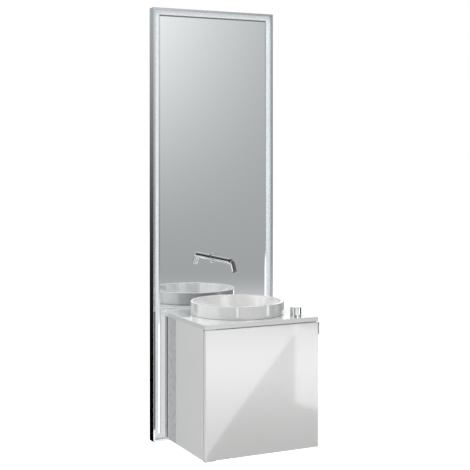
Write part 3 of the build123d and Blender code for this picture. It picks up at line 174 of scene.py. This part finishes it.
class Finish(Nodes):
    """A material with one Principled shader and the few node patterns that the finishes share."""

    def __init__(self, name, color, roughness, metallic=0.0, **sockets):
        self.material = bpy.data.materials.new(name)
        self.material.use_nodes = True
        super().__init__(self.material.node_tree)
        self.shader = self.tree.nodes["Principled BSDF"]
        self.set("Base Color", (*color, 1.0))
        self.set("Roughness", roughness)
        self.set("Metallic", metallic)
        for socket, value in sockets.items():
            self.set(socket.replace("_", " "), value)

    def set(self, socket, value):
        self.shader.inputs[socket].default_value = value

    def coordinates(self, scale=(1.0, 1.0, 1.0)):
        """Object coordinates, stretched along the axes."""
        source = self.tree.nodes.new("ShaderNodeTexCoord")
        mapping = self.node("Mapping", Vector=source.outputs["Object"], Scale=scale)
        return mapping.outputs["Vector"]

    def noise(self, scale, detail=3.0, stretch=(1.0, 1.0, 1.0)):
        made = self.node("TexNoise", Vector=self.coordinates(stretch), Scale=scale, Detail=detail)
        return made.outputs["Fac"]

    def between(self, value, low, high, from_low=0.3, from_high=0.7):
        """Maps a pattern from the middle of its range to two values."""
        made = self.tree.nodes.new("ShaderNodeMapRange")
        self.put(made, "Value", value)
        self.put(made, "From Min", from_low)
        self.put(made, "From Max", from_high)
        self.put(made, "To Min", low)
        self.put(made, "To Max", high)
        return made.outputs["Result"]

    def blend(self, factor, first, second):
        made = self.tree.nodes.new("ShaderNodeMix")
        made.data_type = "RGBA"
        self.tree.links.new(factor, made.inputs["Factor"])
        for socket, value in (("A", first), ("B", second)):
            place_in = [i for i in made.inputs if i.name == socket and i.type == "RGBA"][0]
            if isinstance(value, bpy.types.NodeSocket):
                self.tree.links.new(value, place_in)
            else:
                place_in.default_value = (*value, 1.0)
        return [o for o in made.outputs if o.type == "RGBA"][0]

    def link(self, value, socket):
        self.tree.links.new(value, self.shader.inputs[socket])
        return self

    def roughen(self, scale, low, high, detail=3.0, stretch=(1.0, 1.0, 1.0)):
        return self.link(self.between(self.noise(scale, detail, stretch), low, high), "Roughness")

    def tint(self, scale, first, second, detail=3.0, stretch=(1.0, 1.0, 1.0)):
        pattern = self.between(self.noise(scale, detail, stretch), 0.0, 1.0)
        return self.link(self.blend(pattern, first, second), "Base Color")

    def bump(self, height, distance, strength=1.0):
        made = self.node("Bump", Height=height, Distance=distance, Strength=strength)
        return self.link(made.outputs["Normal"], "Normal")

    def ripple(self, scale, distance, detail=2.0, stretch=(1.0, 1.0, 1.0)):
        return self.bump(self.noise(scale, detail, stretch), distance)


def white_lacquer():
    """High-gloss lacquer on board, with a trace of orange peel."""
    finish = Finish("white_lacquer", (0.84, 0.845, 0.85), 0.1, Coat_Weight=1.0, Coat_Roughness=0.03, IOR=1.5)
    finish.tint(3.0, (0.835, 0.84, 0.845), (0.85, 0.853, 0.856))
    finish.roughen(40.0, 0.07, 0.14)
    finish.ripple(260.0, 0.004 * MM)
    return finish.material


def painted_shade_lacquer():
    """The satin lacquer of the ribbed strips, made a little greyer than the boards with painted shade of
    their grooves.
    """
    # painted shade: these grey colours stand in for the shade in the grooves between the ribs
    finish = Finish("painted_shade_lacquer", (0.62, 0.63, 0.64), 0.3, IOR=1.5)
    finish.tint(3.0, (0.61, 0.62, 0.63), (0.64, 0.65, 0.66))
    finish.roughen(60.0, 0.24, 0.34)
    return finish.material


def door_lacquer():
    """Lacquer polished to a mirror gloss."""
    finish = Finish("door_lacquer", (0.74, 0.74, 0.735), 0.05, IOR=1.6)
    finish.set("Coat Weight", 1.0)
    finish.set("Coat Roughness", 0.01)
    finish.set("Coat IOR", 2.0)
    finish.tint(2.0, (0.735, 0.735, 0.73), (0.75, 0.75, 0.746))
    finish.roughen(30.0, 0.03, 0.07)
    finish.ripple(60.0, 0.002 * MM)
    return finish.material


def white_ceramic():
    """Glazed ceramic: white and glossy inside, with painted shade that makes the outer wall a little greyer.
    """
    basin_low, basin_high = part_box("basin")
    centre = (basin_low + basin_high) / 2
    wall = (basin_high.x - basin_low.x) / 2 - 1.5 * MM
    finish = Finish("white_ceramic", (0.9, 0.9, 0.895), 0.1, Coat_Weight=1.0, Coat_Roughness=0.03, IOR=1.5)
    finish.set("Coat IOR", 1.8)
    split = finish.node("SeparateXYZ", Vector=finish.coordinates())
    aside = finish.math("SUBTRACT", split.outputs["X"], centre.x)
    forward = finish.math("SUBTRACT", split.outputs["Y"], centre.y)
    square = finish.math("ADD", finish.math("POWER", aside, 2.0), finish.math("POWER", forward, 2.0))
    outside = finish.between(finish.math("SQRT", square), 0.0, 1.0, wall - 0.5 * MM, wall + 0.5 * MM)
    cloud = finish.between(finish.noise(6.0), 0.0, 1.0)
    glaze = finish.blend(cloud, (0.905, 0.906, 0.902), (0.918, 0.917, 0.912))
    # painted shade: the outer wall's glaze colour is greyed to stand in for the shade on it
    finish.link(finish.blend(outside, glaze, (0.73, 0.735, 0.735)), "Base Color")
    finish.roughen(18.0, 0.06, 0.14)
    finish.ripple(9.0, 0.1 * MM)
    return finish.material


def white_glass():
    """Glass painted white behind: a cool white face, with greener cut edges."""
    _, deck_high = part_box("deck")
    finish = Finish("white_glass", (0.81, 0.82, 0.82), 0.08, Coat_Weight=1.0, Coat_Roughness=0.01, IOR=1.52)
    height = finish.node("SeparateXYZ", Vector=finish.coordinates()).outputs["Z"]
    top = deck_high.z - 1.0 * MM
    on_top = finish.between(height, 0.0, 1.0, top, top + 0.4 * MM)
    cloud = finish.between(finish.noise(4.0), 0.0, 1.0)
    face = finish.blend(cloud, (0.8, 0.81, 0.81), (0.815, 0.825, 0.823))
    finish.link(finish.blend(on_top, (0.74, 0.765, 0.755), face), "Base Color")
    finish.roughen(25.0, 0.05, 0.11)
    return finish.material


def clear_glass():
    """Clear float glass for the shelf."""
    finish = Finish("clear_glass", (0.93, 0.975, 0.96), 0.01, Transmission_Weight=1.0, IOR=1.5)
    finish.roughen(20.0, 0.0, 0.03)
    return finish.material


def mirror():
    """Silvered glass in front, with a grey-painted back."""
    _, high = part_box("mirror_glass")
    finish = Finish("mirror", (0.88, 0.91, 0.92), 0.004, metallic=1.0)
    depth = finish.node("SeparateXYZ", Vector=finish.coordinates()).outputs["Y"]
    behind = finish.between(depth, 0.0, 1.0, high.y - 1.2 * MM, high.y - 0.6 * MM)
    finish.link(finish.blend(behind, (0.88, 0.91, 0.92), (0.34, 0.36, 0.37)), "Base Color")
    finish.link(finish.between(behind, 1.0, 0.0, 0.0, 1.0), "Metallic")
    clean = finish.between(finish.noise(7.0), 0.001, 0.006)
    mixed = finish.node("MapRange")
    finish.put(mixed, "Value", behind)
    finish.put(mixed, "To Min", clean)
    finish.put(mixed, "To Max", 0.6)
    finish.link(mixed.outputs["Result"], "Roughness")
    return finish.material


def opal_light():
    """The lit opal strips: frosted, with a soft cool glow."""
    finish = Finish("opal_light", (0.78, 0.82, 0.83), 0.42, Specular_IOR_Level=0.4)
    finish.set("Emission Color", (0.9, 0.97, 1.0, 1.0))
    finish.link(finish.between(finish.noise(8.0), 0.2, 0.26), "Emission Strength")
    finish.tint(30.0, (0.77, 0.81, 0.82), (0.8, 0.835, 0.845))
    finish.ripple(40.0, 0.004 * MM)
    return finish.material


def anodised(name, along):
    """Anodised aluminium with its grain along one axis."""
    stretch = [900.0, 900.0, 900.0]
    stretch["XYZ".index(along)] = 6.0
    finish = Finish(name, (0.6, 0.63, 0.66), 0.12, metallic=1.0)
    finish.tint(1.0, (0.57, 0.6, 0.635), (0.63, 0.655, 0.68), 4.0, stretch)
    finish.roughen(1.0, 0.08, 0.16, 4.0, stretch)
    finish.ripple(1.0, 0.0008 * MM, 2.0, stretch)
    return finish.material


def dark_anodised():
    finish = Finish("dark_anodised", (0.2, 0.205, 0.21), 0.35, metallic=0.9)
    finish.tint(1.0, (0.17, 0.175, 0.18), (0.24, 0.245, 0.25), 3.0, (700.0, 700.0, 5.0))
    finish.roughen(1.0, 0.28, 0.42, 3.0, (700.0, 700.0, 5.0))
    return finish.material


def chrome():
    """Polished chrome with faint wiping marks."""
    finish = Finish("chrome", (0.85, 0.86, 0.87), 0.03, metallic=1.0)
    finish.tint(12.0, (0.84, 0.85, 0.86), (0.87, 0.875, 0.885))
    finish.roughen(35.0, 0.015, 0.06, 5.0)
    return finish.material


def plated_steel():
    """Zinc-plated sheet steel, with the plating's cloudy crystals."""
    finish = Finish("plated_steel", (0.55, 0.57, 0.58), 0.35, metallic=1.0)
    crystals = finish.node("TexVoronoi", Vector=finish.coordinates(), Scale=420.0)
    shade = finish.between(crystals.outputs["Color"], 0.0, 1.0, 0.1, 0.9)
    finish.link(finish.blend(shade, (0.54, 0.56, 0.575), (0.62, 0.635, 0.64)), "Base Color")
    finish.roughen(300.0, 0.32, 0.42)
    finish.ripple(500.0, 0.01 * MM)
    return finish.material


def coated_sheet():
    """The grey coated back sheet, with a fine powder texture."""
    finish = Finish("coated_sheet", (0.5, 0.51, 0.52), 0.5)
    finish.tint(5.0, (0.48, 0.49, 0.5), (0.53, 0.54, 0.545))
    finish.roughen(50.0, 0.42, 0.6)
    finish.ripple(1500.0, 0.03 * MM)
    return finish.material


def moulded(name, color, gloss=0.4):
    """Moulded plastic or rubber with a fine erosion texture."""
    finish = Finish(name, color, gloss)
    finish.tint(40.0, [c * 0.92 for c in color], [min(1.0, c * 1.06) for c in color])
    finish.roughen(120.0, gloss * 0.85, min(0.95, gloss * 1.2))
    finish.ripple(1400.0, 0.015 * MM)
    return finish.material


def ground_steel():
    finish = Finish("ground_steel", (0.6, 0.61, 0.62), 0.28, metallic=1.0)
    finish.tint(90.0, (0.56, 0.57, 0.58), (0.65, 0.66, 0.66))
    finish.roughen(1.0, 0.2, 0.36, 3.0, (20.0, 900.0, 900.0))
    return finish.material


def machined_brass():
    """Turned brass, with fine tool rings and a little tarnish."""
    finish = Finish("machined_brass", (0.72, 0.55, 0.27), 0.25, metallic=1.0)
    finish.tint(45.0, (0.6, 0.45, 0.22), (0.78, 0.6, 0.32))
    finish.roughen(1.0, 0.18, 0.36, 3.0, (200.0, 200.0, 2500.0))
    return finish.material


def beech():
    finish = Finish("beech", (0.66, 0.47, 0.29), 0.55)
    finish.tint(1.0, (0.58, 0.4, 0.24), (0.74, 0.55, 0.35), 5.0, (20.0, 400.0, 400.0))
    finish.roughen(1.0, 0.45, 0.65, 3.0, (20.0, 300.0, 300.0))
    return finish.material


def steel_braid():
    """Braided wire over a hose: two lays of strands that cross, with painted shade darkening the gaps
    between them.
    """
    finish = Finish("steel_braid", (0.58, 0.6, 0.62), 0.3, metallic=0.95)
    split = finish.node("SeparateXYZ", Vector=finish.coordinates((430.0, 430.0, 430.0)))
    level = finish.math("ADD", split.outputs["X"], split.outputs["Y"])
    right_lay = finish.math("PINGPONG", finish.math("ADD", level, split.outputs["Z"]), 0.5)
    left_lay = finish.math("PINGPONG", finish.math("SUBTRACT", level, split.outputs["Z"]), 0.5)
    woven = finish.math("MAXIMUM", right_lay, left_lay)
    strand = finish.between(woven, 0.0, 1.0, 0.2, 0.5)
    # the crossing lays are the braid's own pattern; the dark colour between the strands is painted shade
    finish.link(finish.blend(strand, (0.25, 0.26, 0.27), (0.68, 0.7, 0.71)), "Base Color")
    finish.roughen(90.0, 0.24, 0.42)
    finish.bump(strand, 0.3 * MM)
    return finish.material


LOOKS = {
    "anodised_upright": anodised("anodised_upright", "Z"),
    "anodised_level": anodised("anodised_level", "X"),
    "opal_light": opal_light(),
    "mirror": mirror(),
    "coated_sheet": coated_sheet(),
    "plated_steel": plated_steel(),
    "inner_plastic": moulded("inner_plastic", (0.78, 0.78, 0.77)),
    "lead_plastic": moulded("lead_plastic", (0.7, 0.7, 0.7), 0.35),
    "black_rubber": moulded("black_rubber", (0.03, 0.03, 0.032), 0.6),
    "clear_seal": moulded("clear_seal", (0.82, 0.84, 0.84), 0.2),
    "dark_plastic": moulded("dark_plastic", (0.08, 0.08, 0.085), 0.45),
    "white_lacquer": white_lacquer(),
    "painted_shade_lacquer": painted_shade_lacquer(),
    "door_lacquer": door_lacquer(),
    "white_ceramic": white_ceramic(),
    "white_glass": white_glass(),
    "clear_glass": clear_glass(),
    "dark_anodised": dark_anodised(),
    "chrome": chrome(),
    "ground_steel": ground_steel(),
    "machined_brass": machined_brass(),
    "beech": beech(),
    "steel_braid": steel_braid(),
}

# The finish of each slot. A slot that isn't named here has a finish of its own name.
SLOT_LOOKS = {
    "frame_aluminium": "anodised_upright",
    "opal_plastic": "opal_light",
    "mirror_glass": "mirror",
    "back_sheet_steel": "coated_sheet",
    "dark_profile": "dark_anodised",
    "natural_beech": "beech",
    "hinge_steel": "ground_steel",
    "bush_plastic": "dark_plastic",
    "pull_aluminium": "anodised_upright",
    "raw_brass": "machined_brass",
    "aerator_plastic": "dark_plastic",
    "hose_braid": "steel_braid",
}
NODE_SLOTS = {part["node"]: part["material_slot"] for part in frame["record"]["subparts"]}
NODE_LOOKS = {
    "frame_top": "anodised_level",
    "frame_bottom": "anodised_level",
    # the ribbed strips take the lacquer greyed with painted shade
    "ribbed_profile_left": "painted_shade_lacquer",
    "ribbed_profile_right": "painted_shade_lacquer",
}


def look_of(node):
    slot = NODE_SLOTS[node]
    return LOOKS[NODE_LOOKS.get(node, SLOT_LOOKS.get(slot, slot))]


def paint_nodes():
    """Gives every CAD node its finish."""
    for node, part in frame["nodes"].items():
        part.data.materials.clear()
        part.data.materials.append(look_of(node))


def body_of(node):
    return frame["nodes"][node]["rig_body"]


def round_edges(node, width, segments=3):
    """Stands a copy with rounded edges in for a CAD node."""
    piece = copy_of(node, node + "_rounded", look_of(node))
    soften(piece, width, segments)
    return place(piece, body_of(node), NODE_SLOTS[node], node)


def build_frame():
    """The panel's four profiles, with the small radius that extruded edges have."""
    for side in ("left", "right", "top", "bottom"):
        round_edges("frame_" + side, 0.4 * MM)
        round_edges("light_diffuser_" + side, 0.3 * MM, 2)


def build_cabinet():
    """The cabinet's boards with their lacquered edges."""
    for side in ("left", "right"):
        round_edges("rear_post_" + side, 0.4 * MM, 2)
        round_edges("shadow_profile_" + side, 0.4 * MM, 2)
        round_edges("side_panel_" + side, 0.6 * MM)
    round_edges("bottom_panel", 0.6 * MM)
    round_edges("deck", 0.8 * MM)
    round_edges("shelf", 0.8 * MM)


def build_door():
    """The door board, and the pull with its edges eased for the fingers."""
    round_edges("door_panel", 1.0 * MM)
    round_edges("edge_pull", 0.4 * MM, 2)


# Stage


def aim_camera():
    """The camera, level, with its frame shifted down as in the photograph."""
    data = bpy.data.cameras.new("camera")
    data.sensor_fit = "HORIZONTAL"
    data.sensor_width = SENSOR
    data.lens = CAMERA_FOCAL_PIXELS / PICTURE_PIXELS * SENSOR
    data.shift_y = -(PICTURE_PIXELS / 2 - HORIZON_PIXEL) / PICTURE_PIXELS
    data.clip_end = 100.0
    camera = bpy.data.objects.new("camera", data)
    camera.location = CAMERA_PLACE
    camera.rotation_euler = (math.pi / 2, 0.0, -CAMERA_TURN)
    bpy.context.scene.collection.objects.link(camera)
    bpy.context.scene.camera = camera


def lay_floor():
    """A pale floor that keeps the soft shadow of what hangs over it."""
    low, _ = CAD_BOX
    bm = bmesh.new()
    bmesh.ops.create_grid(bm, x_segments=8, y_segments=8, size=FLOOR_HALF)
    bmesh.ops.translate(bm, vec=(0.0, 0.0, low.z - FLOOR_BELOW_PANEL), verts=bm.verts)
    finish = Finish("floor_paint", (0.9, 0.9, 0.9), 0.8, Specular_IOR_Level=0.0)
    finish.tint(0.6, (0.895, 0.895, 0.895), (0.905, 0.905, 0.905))
    path = finish.tree.nodes.new("ShaderNodeLightPath")
    finish.set("Emission Color", (1.0, 1.0, 1.0, 1.0))
    glow = finish.math("MULTIPLY", path.outputs["Is Camera Ray"], FLOOR_WHITE)
    finish.link(glow, "Emission Strength")
    floor = finish_mesh(bm, "floor", finish.material)
    floor.visible_glossy = False
    floor.visible_transmission = False
    return floor


class Softbox:
    """A soft-edged light card, told by the directions that it fills, which only shiny surfaces see.

    An azimuth is in degrees from the front, growing to the right. A rise is the direction's Z.
    """

    def __init__(self, left, right, low, high, strength, side_blur=2.0, rise_blur=0.02, lean=0.0):
        self.left, self.right = left, right
        self.low, self.high = low, high
        self.strength = strength
        self.side_blur, self.rise_blur = side_blur, rise_blur
        self.lean = lean


SOFTBOXES = (
    # the pale wall that fades away across the mirror
    Softbox(-2.0, 20.0, 0.04, 0.3, 1.5, side_blur=14.0, rise_blur=0.16),
    # low cards in front of the door: a leaning one, a narrow one and the glow under both
    Softbox(-12.0, 40.0, -0.214, -0.16, 0.9, side_blur=1.0, rise_blur=0.004, lean=0.0225),
    Softbox(29.1, 60.0, -0.219, -0.16, 1.0, side_blur=0.15, rise_blur=0.004, lean=-0.004),
    Softbox(-20.0, 60.0, -0.225, -0.16, 1.4, side_blur=4.0, rise_blur=0.05),
    # tall strips that draw lines on round things
    Softbox(-28.0, -24.0, -0.45, -0.135, 2.6, side_blur=2.0, rise_blur=0.01),
    Softbox(51.0, 57.0, -0.45, -0.1, 2.6, side_blur=2.5, rise_blur=0.01),
    # a wide card on the left
    Softbox(-140.0, -72.0, -0.5, 0.35, 0.8, side_blur=8.0, rise_blur=0.1),
    # the white room behind, seen by what looks up and back
    Softbox(118.0, 180.0, 0.11, 0.9, 0.7, side_blur=6.0, rise_blur=0.05),
    Softbox(-180.0, -120.0, 0.08, 0.9, 0.55, side_blur=6.0, rise_blur=0.2),
)
# The azimuth at which a leaning card has the height it is given
LEAN_AZIMUTH = 27.0
ROOM_TONE = 0.4
CEILING_TONE = 0.16
DARK_SIDE_TONE = 0.05
# The corner behind on the left, which is black low down and reaches this tone higher up
CORNER_TONE = 0.3
# The even light that falls on dull surfaces
ROOM_LIGHT = 0.48

# What both lamps point at, and how strong they are
LIT_PLACE = (0.0, -0.25, 0.2)
OVERHEAD_WATTS = 88.0
LEFT_WATTS = 36.0


class Sky(Nodes):
    """What shiny surfaces see around the object, by the direction that they look in."""

    def __init__(self, tree):
        super().__init__(tree)
        direction = tree.nodes.new("ShaderNodeTexCoord").outputs["Generated"]
        split = self.node("SeparateXYZ", Vector=direction)
        self.rise = split.outputs["Z"]
        front = self.math("MULTIPLY", split.outputs["Y"], -1.0)
        turn = self.math("ARCTAN2", split.outputs["X"], front)
        self.azimuth = self.math("MULTIPLY", turn, 180.0 / math.pi)

    def step(self, value, edge, blur):
        """Goes from 0 to 1 across an edge."""
        made = self.tree.nodes.new("ShaderNodeMapRange")
        made.interpolation_type = "SMOOTHSTEP"
        self.put(made, "Value", value)
        self.put(made, "From Min", edge - blur)
        self.put(made, "From Max", edge + blur)
        return made.outputs["Result"]

    def between_azimuths(self, left, right, left_blur, right_blur):
        """1 between two azimuths and 0 outside them."""
        past_left = self.step(self.azimuth, left, left_blur)
        return self.math("SUBTRACT", past_left, self.step(self.azimuth, right, right_blur))

    def shine(self, box):
        """How brightly one softbox shows in each direction."""
        tilt = self.math("MULTIPLY", self.azimuth, box.lean)
        leaned = self.math("SUBTRACT", self.rise, self.math("ADD", tilt, -box.lean * LEAN_AZIMUTH))
        inside = self.between_azimuths(box.left, box.right, box.side_blur, box.side_blur)
        above = self.step(leaned, box.low, box.rise_blur)
        below = self.step(self.rise, box.high, box.rise_blur)
        inside = self.math("MULTIPLY", inside, self.math("SUBTRACT", above, below), clamp=True)
        return self.math("MULTIPLY", inside, box.strength)

    def room(self):
        """The room's own tone: grey, but dark overhead, at both sides and behind on the left."""
        overhead = self.step(self.rise, 0.45, 0.15)
        tone = self.mix(overhead, ROOM_TONE, CEILING_TONE)
        right = self.between_azimuths(66.0, 112.0, 6.0, 6.0)
        tone = self.mix(right, tone, DARK_SIDE_TONE)
        left = self.between_azimuths(-56.0, -8.0, 8.0, 8.0)
        above = self.step(self.rise, -0.11, 0.02)
        tone = self.mix(self.math("MULTIPLY", left, above), tone, DARK_SIDE_TONE)
        corner = self.between_azimuths(-174.0, -140.0, 4.0, 6.0)
        low_tone = self.math("MULTIPLY", self.step(self.rise, 0.05, 0.25), CORNER_TONE)
        return self.mix(corner, tone, low_tone)

    def mix(self, factor, first, second):
        made = self.node("Mix")
        self.put(made, "Factor", factor)
        self.put(made, "A", first)
        self.put(made, "B", second)
        return made.outputs["Result"]


def light_world():
    """White where the camera looks past the object, even light, and softboxes in what shines."""
    world = bpy.data.worlds.new("studio")
    world.use_nodes = True
    bpy.context.scene.world = world
    tree = world.node_tree
    sky = Sky(tree)
    tone = sky.room()
    for box in SOFTBOXES:
        tone = sky.math("ADD", tone, sky.shine(box))
    path = tree.nodes.new("ShaderNodeLightPath")
    white = sky.math("MAXIMUM", path.outputs["Is Camera Ray"], path.outputs["Is Transmission Ray"])
    strength = sky.mix(path.outputs["Is Glossy Ray"], ROOM_LIGHT, tone)
    strength = sky.mix(white, strength, 1.0)
    background = tree.nodes["Background"]
    background.inputs["Color"].default_value = (1.0, 1.0, 1.0, 1.0)
    tree.links.new(strength, background.inputs["Strength"])


def area_light(name, place_at, target, width, height, power):
    data = bpy.data.lights.new(name, "AREA")
    data.shape = "RECTANGLE"
    data.size = width
    data.size_y = height
    data.energy = power
    light = bpy.data.objects.new(name, data)
    light.location = place_at
    light.rotation_euler = (Vector(target) - Vector(place_at)).to_track_quat("-Z", "Y").to_euler()
    light.visible_camera = False
    light.visible_glossy = False
    light.visible_transmission = False
    bpy.context.scene.collection.objects.link(light)
    return light


def light_studio():
    """A large soft light overhead and one from the left. Shiny things see the softboxes instead."""
    area_light("overhead", (-0.2, -0.5, 3.4), LIT_PLACE, 3.0, 3.0, OVERHEAD_WATTS)
    area_light("left", (-4.2, -0.6, 1.2), LIT_PLACE, 2.5, 3.0, LEFT_WATTS)


paint_nodes()
build_frame()
build_cabinet()
build_door()
aim_camera()
lay_floor()
light_world()
light_studio()
bpy.context.scene.view_settings.view_transform = "Standard"
